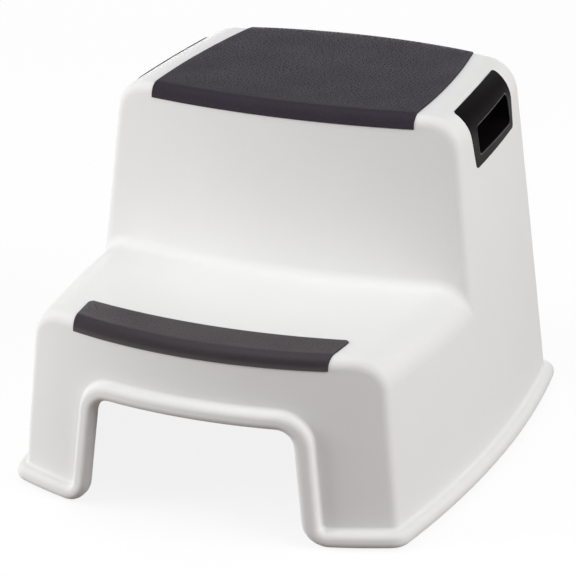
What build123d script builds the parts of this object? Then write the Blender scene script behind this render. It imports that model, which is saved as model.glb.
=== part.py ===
# Two-step stool: a hollow white shell open underneath, a rubber pad on each tread,
# a black hand-hold insert in each side and a rubber foot under each corner.
# Millimetres. +Z is up, +Y is to the back and +X is to the right of someone facing the front.
# The origin is on the floor, under the middle of the stool.

import os

from build123d import *

os.makedirs("parts", exist_ok=True)

# Heights
top_height = 261.6
tread_height = 136.1
foot_proud = 1.0

# Side walls: half-width of the stool at the floor, lean up to the top and outward bow in plan
side_floor_x = 160.2
side_lean = 29.6
side_floor_bow = 28.3
side_top_bow = 22.5
side_bow_span = 230.0
side_bow_y = 18.0
side_top_x = side_floor_x - side_lean
side_tread_x = side_floor_x - side_lean * tread_height / top_height

# Front wall, from the floor to the lower tread
front_floor_y = -189.45
front_lean = 9.6
front_bow_radius = 346.0
front_tread_y = front_floor_y + front_lean

# Riser, from the lower tread to the top
riser_tread_y = -37.25
riser_lean = 8.6
riser_bow_radius = 546.0
riser_top_y = riser_tread_y + riser_lean

# Back wall, from the floor to the top
back_floor_y = 183.63
back_lean = 24.38
back_bow_radius = 386.0
back_top_y = back_floor_y - back_lean

# Wall and rounding of the shell
wall = 3.0
upper_shoulder = 26.0
lower_shoulder = 25.0
edge_round = 8.5
back_edge_round = 14.0
step_overlap = 95.0

# Rim bead along the floor and round the arch
rim_proud = 6.8
rim_height = 11.5
rim_round = 5.0
arch_rim_width = 12.5
arch_rim_height = 12.0
arch_rim_corner = 24.5
arch_rim_foot_round = 5.0

# Arch in the front wall, between two legs
arch_leg = 77.4
arch_lean = 9.1
arch_height = 84.4
arch_corner = 13.0
arch_foot_round = 20.0
arch_depth = 66.0
arch_floor_x = side_floor_x - arch_leg
arch_top_x = arch_floor_x - arch_lean

# Rubber pads: how far they stand out of the shell, how deep they sit in it and their gap at the edge
pad_proud = 0.8
pad_depth = 1.2
pad_gap = 0.2
peg_radius = 2.5
peg_gap = 0.1
peg_head_radius = 3.6
peg_head_height = 2.0

# Upper pad, seen from above: how far it stays in from the side, riser and back at the top, and its lip
upper_pad_fold_in = 29.6
upper_pad_mid_in = 30.8
upper_pad_rear_in = 40.6
upper_pad_fold_depth = 18.8
upper_pad_mid_depth = 84.4
upper_pad_rear_gap = 19.1
upper_pad_back_gap = 7.4
upper_pad_corner = 2.5
upper_pad_lip = 9.6
upper_pad_fold_x = side_top_x - upper_pad_fold_in
upper_pad_mid_x = side_top_x - upper_pad_mid_in
upper_pad_rear_x = side_top_x - upper_pad_rear_in
upper_pad_fold_y = riser_top_y + upper_pad_fold_depth
upper_pad_mid_y = riser_top_y + upper_pad_mid_depth
upper_pad_rear_y = back_top_y - upper_pad_rear_gap
upper_pad_back_y = back_top_y - upper_pad_back_gap

# Lower pad, seen from above: how far it stays in from the side and runs back from the front, and its lip
lower_pad_front_in = 50.8
lower_pad_rear_in = 45.9
lower_pad_end_depth = 47.7
lower_pad_mid_depth = 36.0
lower_pad_corner = 5.0
lower_pad_lip = 9.2
lower_pad_front_x = side_tread_x - lower_pad_front_in
lower_pad_rear_x = side_tread_x - lower_pad_rear_in
lower_pad_end_y = front_tread_y + lower_pad_end_depth
lower_pad_mid_y = front_tread_y + lower_pad_mid_depth

# Stiffening ribs under the treads, and how far they run into the wall that they stand on
rib_thickness = 2.0
rib_root = 1.5
upper_rib_depth = 22.0
upper_rib_in = 20.0
upper_rib_setback = 45.25
upper_rib_pitch_y = 40.0
upper_rib_pitch_x = (upper_pad_rear_x - upper_rib_in) / 2
upper_rib_x = tuple(upper_rib_pitch_x * step for step in range(-2, 3))
upper_rib_y = tuple(riser_tread_y + upper_rib_setback + upper_rib_pitch_y * step for step in range(4))
lower_rib_depth = 20.0
lower_rib_out = 2.0
lower_rib_setback = 46.85
lower_rib_pitch_y = 55.0
lower_rib_pitch_x = (lower_pad_front_x + lower_rib_out) / 2
lower_rib_x = tuple(lower_rib_pitch_x * step for step in range(-2, 3))
lower_rib_y = tuple(front_tread_y + lower_rib_setback + lower_rib_pitch_y * step for step in range(2))

# Pegs of the pads, each midway between two ribs
upper_peg_near_y = upper_rib_y[0] + 0.5 * upper_rib_pitch_y
upper_peg_mid_y = upper_rib_y[1] + 0.5 * upper_rib_pitch_y
upper_peg_far_y = upper_rib_y[2] + 0.5 * upper_rib_pitch_y
upper_peg_places = (
    (-1.5 * upper_rib_pitch_x, upper_peg_near_y),
    (1.5 * upper_rib_pitch_x, upper_peg_near_y),
    (-0.5 * upper_rib_pitch_x, upper_peg_mid_y),
    (0.5 * upper_rib_pitch_x, upper_peg_mid_y),
    (-1.5 * upper_rib_pitch_x, upper_peg_far_y),
    (1.5 * upper_rib_pitch_x, upper_peg_far_y),
)
lower_peg_end_depth = 28.85
lower_peg_mid_depth = 22.85
lower_peg_places = (
    (-1.5 * lower_rib_pitch_x, front_tread_y + lower_peg_end_depth),
    (-0.5 * lower_rib_pitch_x, front_tread_y + lower_peg_mid_depth),
    (0.5 * lower_rib_pitch_x, front_tread_y + lower_peg_mid_depth),
    (1.5 * lower_rib_pitch_x, front_tread_y + lower_peg_end_depth),
)

# Hand-hold inserts: a plate let into the side and a closed finger cup behind it
plate_setback = 45.65
plate_length = 90.7
plate_drop = 46.3
plate_back_rise = 2.6
plate_front_lean = 8.6
plate_back_lean = 3.0
plate_front_wrap = 10.2
plate_middle_wrap = 12.3
plate_back_wrap = 15.9
plate_corner = 3.5
plate_proud = 0.5
plate_depth = 1.3
plate_gap = 0.2
plate_front_y = riser_top_y + plate_setback
plate_back_y = plate_front_y + plate_length
plate_low_z = top_height - plate_drop
grip_front_edge = 7.3
grip_back_edge = 5.4
grip_low_edge = 7.7
grip_height = 21.6
grip_back_rise = 2.2
grip_lean = 2.7
grip_corner = 4.5
grip_front_y = plate_front_y + grip_front_edge
grip_back_y = plate_back_y - grip_back_edge
grip_low_z = plate_low_z + grip_low_edge
grip_high_z = grip_low_z + grip_height
cup_wall = 2.0
cup_depth = 30.6
cup_floor_x = side_top_x - cup_depth
snap_length = 14.0
snap_height = 1.2
snap_start = 12.0
snap_gap = 0.3
snap_in = 20.0
snap_places_y = (grip_front_y + snap_in, grip_back_y - snap_in)

# Rubber feet pressed into a plate across each bottom corner
foot_radius = 8.0
foot_recess = 3.0
foot_gap = 0.1
stem_radius = 2.5
foot_head_radius = 3.6
foot_head_height = 2.5
front_foot_in_x = 31.7
front_foot_in_y = 39.1
rear_foot_in_x = 23.2
rear_foot_in_y = 41.5
front_foot_x = side_floor_x - front_foot_in_x
front_foot_y = front_floor_y + front_foot_in_y
rear_foot_x = side_floor_x - rear_foot_in_x
rear_foot_y = back_floor_y - rear_foot_in_y
corner_plate_height = 7.0
corner_plate_margin = 20.5
corner_plate_x = front_foot_x - corner_plate_margin
corner_plate_front_y = front_foot_y + corner_plate_margin
corner_plate_rear_y = rear_foot_y - corner_plate_margin

# Room past the stool for cutting shapes that run out of it
reach = 60.0

foot_places = {
    "foot_front_left": (-front_foot_x, front_foot_y),
    "foot_front_right": (front_foot_x, front_foot_y),
    "foot_rear_left": (-rear_foot_x, rear_foot_y),
    "foot_rear_right": (rear_foot_x, rear_foot_y),
}


# The leaning walls


def lean(z, z_low, low, z_high, high):
    """Place at height z on a straight line through two known heights."""
    return low + (high - low) * (z - z_low) / (z_high - z_low)


def side_x(z):
    return lean(z, 0, side_floor_x, top_height, side_top_x)


def front_y(z):
    return lean(z, 0, front_floor_y, tread_height, front_tread_y)


def riser_y(z):
    return lean(z, tread_height, riser_tread_y, top_height, riser_top_y)


def back_y(z):
    return lean(z, 0, back_floor_y, top_height, back_top_y)


def side_bow(z):
    return lean(z, 0, side_floor_bow, top_height, side_top_bow)


def right_side(height, inset, shoulder):
    """Everything left of the right-hand wall: a bowed outline at two levels, joined by straight lines."""
    levels = (-reach, top_height + reach)
    inside_x = -side_floor_x - reach
    front = side_bow_y - side_bow_span
    rear = side_bow_y + side_bow_span
    with BuildPart() as body:
        for level in levels:
            middle_x = side_x(level) - inset
            end_x = middle_x - side_bow(level)
            with BuildSketch(Plane.XY.offset(level)):
                with BuildLine():
                    ThreePointArc((end_x, front), (middle_x, side_bow_y), (end_x, rear))
                    Polyline((end_x, rear), (inside_x, rear), (inside_x, front), (end_x, front))
                make_face()
        loft(ruled=True)
        split(bisect_by=Plane.XY.offset(height), keep=Keep.BOTTOM)
        if shoulder > 0:
            top_face = body.faces().sort_by(Axis.Z)[-1]
            fillet(top_face.edges().sort_by(Axis.X)[-1], shoulder)
    return body.part


def bowed_wall(bottom, height, y_at_bottom, y_at_height, centre_y):
    """Everything behind a front wall or ahead of a back wall: a leaning profile turned about its bow."""
    with BuildPart() as body:
        with BuildSketch(Plane.YZ):
            with BuildLine():
                Polyline(
                    (centre_y, bottom),
                    (y_at_bottom, bottom),
                    (y_at_height, height),
                    (centre_y, height),
                    close=True,
                )
            make_face()
        revolve(axis=Axis((0, centre_y, 0), (0, 0, 1)))
    return body.part


def four_walls(bottom, height, inset, shoulder, wall_y, wall_centre_y):
    """The space between the two sides, a front wall or riser, and the back wall, moved in by inset."""
    right = right_side(height, inset, shoulder)
    left = mirror(right, about=Plane.YZ)
    above = height + reach
    ahead = bowed_wall(bottom, above, wall_y(bottom) + inset, wall_y(above) + inset, wall_centre_y)
    behind = bowed_wall(
        bottom, above, back_y(bottom) - inset, back_y(above) - inset, back_floor_y - back_bow_radius
    )
    with BuildPart() as body:
        add(right)
        add(left, mode=Mode.INTERSECT)
        add(ahead, mode=Mode.INTERSECT)
        add(behind, mode=Mode.INTERSECT)
    return body.part


def edges_above(face, height):
    return face.edges().filter_by(lambda edge: edge.center().Z > height)


def upper_block(inset, bottom):
    """The tall part of the stool, from the riser to the back wall, rounded at every edge above the floor."""
    walls = four_walls(
        bottom,
        top_height - inset,
        inset,
        upper_shoulder - inset,
        riser_y,
        riser_tread_y + riser_bow_radius,
    )
    with BuildPart() as body:
        add(walls)
        fillet(edges_above(body.faces().sort_by(Axis.Y)[0], 0), edge_round - inset)
        fillet(edges_above(body.faces().sort_by(Axis.Y)[-1], 0), back_edge_round - inset)
    return body.part


def lower_block(inset, bottom):
    """The low part of the stool, from the front wall back into the tall part."""
    walls = four_walls(
        bottom,
        tread_height - inset,
        inset,
        lower_shoulder - inset,
        front_y,
        front_floor_y + front_bow_radius,
    )
    with BuildPart() as body:
        add(walls)
        split(bisect_by=Plane.XZ.offset(-riser_tread_y - step_overlap), keep=Keep.TOP)
        fillet(edges_above(body.faces().sort_by(Axis.Y)[0], 0), edge_round - inset)
    return body.part


def stepped_body(inset, bottom):
    """Both blocks as one stepped body, moved in by inset."""
    tall = upper_block(inset, bottom)
    low = lower_block(inset, bottom)
    with BuildPart() as body:
        add(tall)
        add(low)
    return body.part


# The arch and the rim bead


def arch_space(floor, widening, height, corner, foot_round):
    """A floor line with an arch standing on it, as empty space through the front wall."""
    side = side_floor_x + reach
    floor_x = lean(floor, foot_proud, arch_floor_x, arch_height, arch_top_x) + widening
    top_x = lean(height, foot_proud, arch_floor_x, arch_height, arch_top_x) + widening
    with BuildPart() as space:
        with BuildSketch(Plane.XZ.offset(-front_floor_y - arch_depth)) as outline:
            with BuildLine():
                Polyline(
                    (-side, -reach),
                    (-side, floor),
                    (-floor_x, floor),
                    (-top_x, height),
                    (top_x, height),
                    (floor_x, floor),
                    (side, floor),
                    (side, -reach),
                    close=True,
                )
            make_face()
            top_corners = outline.vertices().group_by(Axis.Y)[-1]
            fillet(top_corners, corner)
            floor_corners = outline.vertices().group_by(Axis.Y)[1].sort_by(Axis.X)[1:-1]
            fillet(floor_corners, foot_round)
        extrude(amount=arch_depth + reach)
    return space.part


def under_space():
    """Everything below the bottom of the shell, with the arch: what the shell and its bead are cut by."""
    arch = arch_space(foot_proud, 0, arch_height, arch_corner, arch_foot_round)
    with BuildPart() as space:
        with BuildSketch(Plane.XY.offset(foot_proud)):
            Rectangle(2 * (side_floor_x + reach), 2 * (back_floor_y + reach))
        extrude(amount=-reach)
        add(arch)
    return space.part


def bead_band():
    """The band that the bead takes: along the floor all round, and round the arch at the front."""
    level = foot_proud + rim_height
    round_arch = arch_space(
        level, arch_rim_width, arch_height + arch_rim_height, arch_rim_corner, arch_rim_foot_round
    )
    with BuildPart() as band:
        with BuildSketch(Plane.XY.offset(level)):
            Rectangle(2 * (side_floor_x + reach), 2 * (back_floor_y + reach))
        extrude(amount=-reach)
        add(round_arch)
    return band.part


def outline_edges(faces):
    """The edges that belong to only one of the faces."""
    edges = faces.edges()
    return edges.filter_by(lambda edge: sum(edge.is_same(other) for other in edges) == 1)


def rim_slab(below, band):
    """The bead as a full slab, before the hollow is taken out, with its outer edges rounded."""
    walls = four_walls(
        -rim_height,
        arch_height + 2 * rim_height,
        -rim_proud,
        0,
        front_y,
        front_floor_y + front_bow_radius,
    )
    nearly_upright = 0.9
    with BuildPart() as body:
        add(walls)
        upright = body.edges().filter_by(lambda edge: abs(edge.tangent_at(0.5).Z) > nearly_upright)
        fillet(upright, edge_round + rim_proud)
        add(band, mode=Mode.INTERSECT)
        add(below, mode=Mode.SUBTRACT)
        outer_faces = body.faces().filter_by(
            lambda face: face.geom_type in (GeomType.CONE, GeomType.BSPLINE)
        )
        fillet(outline_edges(outer_faces), rim_round)
    return body.part


# Inside the shell


def block_between(x_range, y_range, z_range):
    """A plain block between two corners."""
    with BuildPart() as body:
        with BuildSketch(Plane.XY.offset(z_range[0])):
            with Locations(((x_range[0] + x_range[1]) / 2, (y_range[0] + y_range[1]) / 2)):
                Rectangle(x_range[1] - x_range[0], y_range[1] - y_range[0])
        extrude(amount=z_range[1] - z_range[0])
    return body.part


def rib_grid(lengthwise_x, crosswise_y, x_range, y_range, z_range):
    """Thin upright plates in both directions: a grid that hangs under a tread."""
    half = rib_thickness / 2
    plates = [block_between((x - half, x + half), y_range, z_range) for x in lengthwise_x]
    plates += [block_between(x_range, (y - half, y + half), z_range) for y in crosswise_y]
    with BuildPart() as grid:
        add(plates)
    return grid.part


def stiffening():
    """Rib grids under both treads and a plate across each bottom corner, run into the walls they stand on."""
    upper_grid = rib_grid(
        upper_rib_x,
        upper_rib_y,
        (upper_rib_x[0], upper_rib_x[-1]),
        (riser_tread_y, back_floor_y),
        (top_height - wall - upper_rib_depth, top_height),
    )
    lower_grid = rib_grid(
        lower_rib_x,
        lower_rib_y,
        (-side_floor_x, side_floor_x),
        (front_floor_y, riser_tread_y + wall),
        (tread_height - wall - lower_rib_depth, tread_height),
    )
    corner_z = (foot_proud, foot_proud + corner_plate_height)
    corner_x = (corner_plate_x, side_floor_x)
    front_corner = block_between(corner_x, (front_floor_y, corner_plate_front_y), corner_z)
    rear_corner = block_between(corner_x, (corner_plate_rear_y, back_floor_y), corner_z)
    limits = stepped_body(wall - rib_root, -reach / 2)
    with BuildPart() as body:
        add(front_corner)
        add(rear_corner)
        mirror(about=Plane.YZ)
        add(upper_grid)
        add(lower_grid)
        add(limits, mode=Mode.INTERSECT)
    return body.part


# The pads


def upper_pad_space(gap):
    """The upper pad's outline carried up from the bottom of its lip, widened by gap."""
    ahead = riser_tread_y - reach
    fold_x = upper_pad_fold_x + gap
    mid_x = upper_pad_mid_x + gap
    rear_x = upper_pad_rear_x + gap
    rear_y = upper_pad_rear_y + gap
    with BuildPart() as space:
        with BuildSketch(Plane.XY.offset(top_height - upper_pad_lip - gap)) as outline:
            with BuildLine():
                Polyline(
                    (-fold_x, upper_pad_fold_y),
                    (-fold_x, ahead),
                    (fold_x, ahead),
                    (fold_x, upper_pad_fold_y),
                )
                ThreePointArc((fold_x, upper_pad_fold_y), (mid_x, upper_pad_mid_y), (rear_x, rear_y))
                ThreePointArc((rear_x, rear_y), (0, upper_pad_back_y + gap), (-rear_x, rear_y))
                ThreePointArc((-rear_x, rear_y), (-mid_x, upper_pad_mid_y), (-fold_x, upper_pad_fold_y))
            make_face()
            rear_corners = outline.vertices().group_by(Axis.Y)[-1]
            fillet(rear_corners, upper_pad_corner + gap)
        extrude(amount=upper_pad_lip + reach)
    return space.part


def lower_pad_space(gap):
    """The lower pad's outline carried up from the bottom of its lip, widened by gap."""
    ahead = front_floor_y - reach
    front_x = lower_pad_front_x + gap
    rear_x = lower_pad_rear_x + gap
    end_y = lower_pad_end_y + gap
    with BuildPart() as space:
        with BuildSketch(Plane.XY.offset(tread_height - lower_pad_lip - gap)) as outline:
            with BuildLine():
                Polyline((-rear_x, end_y), (-front_x, front_tread_y), (-front_x, ahead), (front_x, ahead))
                Polyline((front_x, ahead), (front_x, front_tread_y), (rear_x, end_y))
                ThreePointArc((rear_x, end_y), (0, lower_pad_mid_y + gap), (-rear_x, end_y))
            make_face()
            rear_corners = outline.vertices().group_by(Axis.Y)[-1]
            fillet(rear_corners, lower_pad_corner + gap)
        extrude(amount=lower_pad_lip + reach)
    return space.part


def recess(space, kept):
    """What a fitted piece takes out of the shell: its own space down to the block that is kept under it."""
    with BuildPart() as cut:
        add(space)
        add(kept, mode=Mode.SUBTRACT)
    return cut.part


def peg_holes(places, tread):
    """Round holes through a tread for the pegs of its pad."""
    with BuildPart() as holes:
        with BuildSketch(Plane.XY.offset(tread)):
            with Locations(*places):
                Circle(peg_radius + peg_gap)
        extrude(amount=-2 * wall)
    return holes.part


def pegs(places, tread):
    """Pegs that hold a pad down: a stem through the tread and a wider head under it."""
    underside = tread - wall
    with BuildPart() as body:
        with BuildSketch(Plane.XY.offset(tread - pad_depth)):
            with Locations(*places):
                Circle(peg_radius)
        extrude(amount=pad_depth - wall - peg_head_height)
        with BuildSketch(Plane.XY.offset(underside)):
            with Locations(*places):
                Circle(peg_head_radius)
        extrude(amount=-peg_head_height)
    return body.part


# The hand-holds


def side_window(start_x, corners, grow, corner_round):
    """A rounded window in the side view, widened by grow, carried outwards through the right-hand wall."""
    with BuildPart() as space:
        with BuildSketch(Plane.YZ.offset(start_x)) as outline:
            with BuildLine():
                Polyline(*corners, close=True)
            make_face()
            if grow > 0:
                offset(outline.face(), amount=grow, kind=Kind.INTERSECTION, mode=Mode.REPLACE)
            fillet(outline.vertices(), corner_round + grow)
        extrude(amount=side_floor_x - start_x + reach)
    return space.part


def plate_edge_y(z, y, edge_lean):
    """Place at height z on the plate's leaning front or back edge."""
    return lean(z, plate_low_z, y, top_height, y + edge_lean)


def plate_space(gap):
    """The space of the plate that is let into the side and wraps over the shoulder."""
    above = top_height + reach
    back_low_z = plate_low_z + plate_back_rise
    corners = (
        (plate_front_y, plate_low_z),
        (plate_edge_y(back_low_z, plate_back_y, plate_back_lean), back_low_z),
        (plate_edge_y(above, plate_back_y, plate_back_lean), above),
        (plate_edge_y(above, plate_front_y, -plate_front_lean), above),
    )
    window = side_window(cup_floor_x, corners, gap, plate_corner)
    front = plate_front_y - plate_front_lean - gap
    back = plate_back_y + plate_back_lean + gap
    front_x = side_top_x - plate_front_wrap - gap
    middle_x = side_top_x - plate_middle_wrap - gap
    back_x = side_top_x - plate_back_wrap - gap
    outer_x = side_floor_x + reach
    with BuildPart() as space:
        with BuildSketch(Plane.XY.offset(plate_low_z - reach)) as outline:
            with BuildLine():
                ThreePointArc((front_x, front), (middle_x, (front + back) / 2), (back_x, back))
                Polyline((back_x, back), (outer_x, back), (outer_x, front), (front_x, front))
            make_face()
            fillet(outline.vertices().sort_by(Axis.X)[:2], plate_corner + gap)
        extrude(amount=top_height)
        add(window, mode=Mode.INTERSECT)
    return space.part


def grip_top_z(y):
    """Height of the finger opening's top edge, which rises to the back."""
    return lean(y, grip_front_y, grip_high_z, grip_back_y, grip_high_z + grip_back_rise)


def grip_space(start_x, grow):
    """The finger opening, widened by grow, carried outwards from start_x."""
    corners = (
        (grip_front_y, grip_low_z),
        (grip_back_y, grip_low_z),
        (grip_back_y - grip_lean, grip_top_z(grip_back_y)),
        (grip_front_y - grip_lean, grip_high_z),
    )
    return side_window(start_x, corners, grow, grip_corner)


def cup_space(gap):
    """The outside of the finger cup."""
    grow = cup_wall + gap
    return grip_space(cup_floor_x - grow, grow)


def snap_ridges():
    """Short ridges on the top and bottom of the finger cup that catch behind the wall."""
    ridges = [
        block_between(
            (cup_floor_x + snap_start, side_floor_x),
            (y - snap_length / 2, y + snap_length / 2),
            (grip_low_z - cup_wall - snap_height, grip_top_z(y) + cup_wall + snap_height),
        )
        for y in snap_places_y
    ]
    behind_wall = upper_block(wall + snap_gap, -reach / 2)
    with BuildPart() as body:
        add(ridges)
        add(behind_wall, mode=Mode.INTERSECT)
    return body.part


# What the pieces are cut from

below = under_space()
rim = rim_slab(below, bead_band())
outside = stepped_body(0, -reach / 2)
hollow = stepped_body(wall, -reach / 2)
inner_frame = stiffening()
upper_under_pad = upper_block(pad_depth, -reach / 2)
lower_under_pad = lower_block(pad_depth, -reach / 2)
upper_pad_skin = upper_block(-pad_proud, -reach / 2)
lower_pad_skin = lower_block(-pad_proud, -reach / 2)
plate_skin = upper_block(-plate_proud, -reach / 2)
under_plate = upper_block(plate_depth, -reach / 2)
upper_pad_recess = recess(upper_pad_space(pad_gap), upper_under_pad)
lower_pad_recess = recess(lower_pad_space(pad_gap), lower_under_pad)
plate_recess = recess(plate_space(plate_gap), under_plate)
cup_hole = cup_space(plate_gap)
upper_peg_holes = peg_holes(upper_peg_places, top_height)
lower_peg_holes = peg_holes(lower_peg_places, tread_height)
grip_hole = grip_space(cup_floor_x, 0)

# Shell: one white moulding, open underneath, with its bead, ribs and corner plates

with BuildPart() as shell:
    add(outside)
    add(below, mode=Mode.SUBTRACT)
    add(rim)
    add(hollow, mode=Mode.SUBTRACT)
    add(upper_pad_recess, mode=Mode.SUBTRACT)
    add(upper_peg_holes, mode=Mode.SUBTRACT)
    add(lower_pad_recess, mode=Mode.SUBTRACT)
    add(lower_peg_holes, mode=Mode.SUBTRACT)
    for side_cut in (plate_recess, cup_hole):
        add(side_cut, mode=Mode.SUBTRACT)
        add(mirror(side_cut, about=Plane.YZ, mode=Mode.PRIVATE), mode=Mode.SUBTRACT)
    add(inner_frame)
    with BuildSketch(Plane.XY.offset(foot_proud)):
        with Locations(*foot_places.values()):
            Circle(foot_radius + foot_gap)
    extrude(amount=foot_recess, mode=Mode.SUBTRACT)
    with BuildSketch(Plane.XY.offset(foot_proud)):
        with Locations(*foot_places.values()):
            Circle(stem_radius)
    extrude(amount=2 * corner_plate_height, mode=Mode.SUBTRACT)

shell.part.label = "shell"
export_step(shell.part, "parts/shell.step")

# Upper tread pad: a rubber skin on the top that folds over the riser's edge

upper_pad_outline = upper_pad_space(0)
upper_pegs = pegs(upper_peg_places, top_height)

with BuildPart() as upper_pad:
    add(upper_pad_outline)
    add(upper_pad_skin, mode=Mode.INTERSECT)
    add(upper_under_pad, mode=Mode.SUBTRACT)
    add(upper_pegs)

upper_pad.part.label = "upper_tread_pad"
export_step(upper_pad.part, "parts/upper_tread_pad.step")

# Lower tread pad: a rubber strip along the front edge that folds over the front wall

lower_pad_outline = lower_pad_space(0)
lower_pegs = pegs(lower_peg_places, tread_height)

with BuildPart() as lower_pad:
    add(lower_pad_outline)
    add(lower_pad_skin, mode=Mode.INTERSECT)
    add(lower_under_pad, mode=Mode.SUBTRACT)
    add(lower_pegs)

lower_pad.part.label = "lower_tread_pad"
export_step(lower_pad.part, "parts/lower_tread_pad.step")

# Hand-hold inserts: a plate over the shoulder with a closed cup for the fingers

plate_outline = plate_space(0)
cup_outline = cup_space(0)
ridges = snap_ridges()

with BuildPart() as right_hand_hold:
    add(plate_outline)
    add(under_plate, mode=Mode.SUBTRACT)
    add(cup_outline)
    add(plate_skin, mode=Mode.INTERSECT)
    add(ridges)
    add(grip_hole, mode=Mode.SUBTRACT)

right_hand_hold.part.label = "right_hand_hold"
export_step(right_hand_hold.part, "parts/right_hand_hold.step")

with BuildPart() as left_hand_hold:
    add(right_hand_hold.part)
    mirror(about=Plane.YZ, mode=Mode.REPLACE)

left_hand_hold.part.label = "left_hand_hold"
export_step(left_hand_hold.part, "parts/left_hand_hold.step")

# Feet: a rubber disc under each corner plate, with a stem through it and a head above it

for foot_name, (foot_x, foot_y) in foot_places.items():
    disc_top = foot_proud + foot_recess
    plate_top = foot_proud + corner_plate_height
    with BuildPart() as foot:
        with BuildSketch(Plane.XZ.offset(-foot_y)):
            with BuildLine():
                Polyline(
                    (foot_x, 0),
                    (foot_x + foot_radius, 0),
                    (foot_x + foot_radius, disc_top),
                    (foot_x + stem_radius, disc_top),
                    (foot_x + stem_radius, plate_top),
                    (foot_x + foot_head_radius, plate_top),
                    (foot_x + stem_radius, plate_top + foot_head_height),
                    (foot_x, plate_top + foot_head_height),
                    close=True,
                )
            make_face()
        revolve(axis=Axis((foot_x, foot_y, 0), (0, 0, 1)))
    foot.part.label = foot_name
    export_step(foot.part, f"parts/{foot_name}.step")
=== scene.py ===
"""Looks of the two-step stool: white moulding, charcoal rubber treads and black hand-holds.

Sizes are in millimetres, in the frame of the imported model, and become metres when a mesh is made.
"""

import math

import bpy
import numpy as np
from mathutils import Matrix, Vector


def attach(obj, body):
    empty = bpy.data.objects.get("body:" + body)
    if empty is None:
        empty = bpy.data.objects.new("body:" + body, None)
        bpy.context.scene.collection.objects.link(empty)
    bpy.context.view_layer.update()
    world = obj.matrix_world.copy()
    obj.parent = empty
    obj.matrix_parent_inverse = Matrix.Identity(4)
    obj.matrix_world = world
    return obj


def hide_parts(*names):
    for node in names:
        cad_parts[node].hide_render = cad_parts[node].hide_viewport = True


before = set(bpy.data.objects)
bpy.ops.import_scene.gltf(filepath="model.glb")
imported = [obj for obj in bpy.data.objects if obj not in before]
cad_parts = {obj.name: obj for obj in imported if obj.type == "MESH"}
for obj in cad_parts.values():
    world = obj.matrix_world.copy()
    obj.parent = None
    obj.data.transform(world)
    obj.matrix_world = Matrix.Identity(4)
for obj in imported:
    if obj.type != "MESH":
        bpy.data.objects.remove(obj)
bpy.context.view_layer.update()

# Metres in a millimetre, a length past everything, the angle of a hard corner and the steps of a solver
mm = 0.001
far = 1000.0
sharp_corner = 40.0
newton_steps = 12

# Shell
top_height = 261.6
tread_height = 136.1
foot_proud = 1.0
wall = 3.0
side_floor_x = 160.2
side_top_x = 130.6
side_floor_bow = 28.3
side_top_bow = 22.5
side_bow_span = 230.0
side_bow_y = 18.0
front_floor_y = -189.45
front_tread_y = -179.85
front_bow_radius = 346.0
riser_tread_y = -37.25
riser_top_y = -28.65
riser_bow_radius = 546.0
back_floor_y = 183.63
back_top_y = 159.25
back_bow_radius = 386.0
upper_shoulder = 26.0
lower_shoulder = 25.0
edge_round = 8.5
back_edge_round = 14.0

# Rim bead and arch
rim_proud = 6.8
rim_height = 11.5
rim_round = 5.0
arch_floor_x = 82.8
arch_top_x = 73.7
arch_height = 84.4
arch_rim_width = 12.5
arch_rim_height = 12.0
arch_rim_corner = 24.5
arch_rim_foot_round = 5.0

# Coves in the inner corners of the moulding
riser_cove_radius = 8.5
rim_cove_radius = 3.0
cove_arc_points = 9
cove_sink = 0.6
cove_step = 2.0
cove_stop_angle = 4.0
shoulder_stations = 28
front_corner_guess = (120.0, -140.0)
back_corner_guess = (130.0, 140.0)

# Pads
pad_proud = 0.8
pad_thickness = 2.0
pad_rim_round = 0.6
pad_rim_points = 5
pad_columns = 41
pad_fold_rows = 14
pad_flat_rows = 30
pad_lip_row = 0.7
pad_back_rows = (2.5, 1.7, 1.1)
pad_back_room = 3.0
pad_column_gap = 0.05
pad_outline_steps = 6
upper_pad_fold = (101.0, -9.85)
upper_pad_middle = (99.8, 55.75)
upper_pad_rear = (90.0, 140.15)
upper_pad_back_y = 151.85
upper_pad_corner = 2.5
upper_pad_lip = 9.6
lower_pad_front = (94.0, -179.85)
lower_pad_rear = (98.9, -132.15)
lower_pad_middle_y = -143.85
lower_pad_corner = 5.0
lower_pad_lip = 9.2
pebble_pitch = 3.2
pebble_stray = 0.9
pebble_base = 1.05
pebble_top = 0.55
pebble_height = 0.13
pebble_sink = 0.1
pebble_scales = (0.7, 1.1)
pebble_margin = 3.5
pebble_seed = 7

# Pegs under the pads
peg_radius = 2.5
peg_head_radius = 3.6
peg_head_height = 2.0
peg_edge = 0.5
peg_middle = 0.01
peg_sides = 24
upper_peg_places = ((-52.5, 28), (52.5, 28), (-17.5, 68), (17.5, 68), (-52.5, 108), (52.5, 108))
lower_peg_places = ((-72, -151), (-24, -157), (24, -157), (72, -151))

# Rounded lip of the finger openings
plate_proud = 0.5
grip_corners = ((24.3, 223.0), (102.3, 223.0), (99.6, 246.8), (21.6, 244.6))
grip_corner_round = 4.5
lip_radius = 0.65
lip_sink = 0.3
lip_sides = 12
lip_step = 1.0
plate_steps = 20

# Photograph's camera
camera_azimuth = 22.91
camera_elevation = 22.13
camera_roll = -0.5
camera_distance = 1984.0
camera_target = (0.0, -8.15, 113.3)
focal_pixels = 2702.3
picture_pixels = 576
sensor_mm = 36.0

# Studio, in metres: half the floor, its tone for bounced light and for the camera, and its lift to white
floor_half = 6.0
floor_bounce_tone = (0.22, 0.185, 0.165)
floor_seen_tone = (0.14, 0.14, 0.14)
floor_roughness = 0.9
floor_lift = 0.87
world_strength = 0.13

# Noise: what its values mostly lie between, and its details
noise_range = (0.3, 0.7)
cloud_detail = 3.0
grain_detail = 2.0
pit_share = 0.5


# Mesh helpers


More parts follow.
